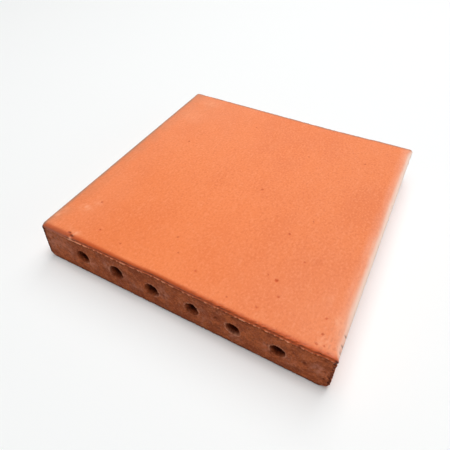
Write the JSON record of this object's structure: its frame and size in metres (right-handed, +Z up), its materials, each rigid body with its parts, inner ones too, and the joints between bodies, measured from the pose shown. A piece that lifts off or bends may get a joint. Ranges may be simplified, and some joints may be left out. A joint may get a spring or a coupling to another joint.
{
  "type": "terracotta floor tile",
  "caption": "Square extruded terracotta floor tile with rounded long edges, dragged wire-cut ends and a row of round cores right through it.",
  "frame": {"origin": "centre of the bed, the flat lower face", "axes": "+Z up out of the wearing face, +Y along the cores from the end that the picture shows to the far end, +X across the cores"},
  "size_m": [0.2, 0.2, 0.031],
  "materials": {
    "fired_clay": "matt unglazed fired clay"
  },
  "bodies": {
    "root": {"floor_tile": "fired_clay"}
  },
  "joints": []
}
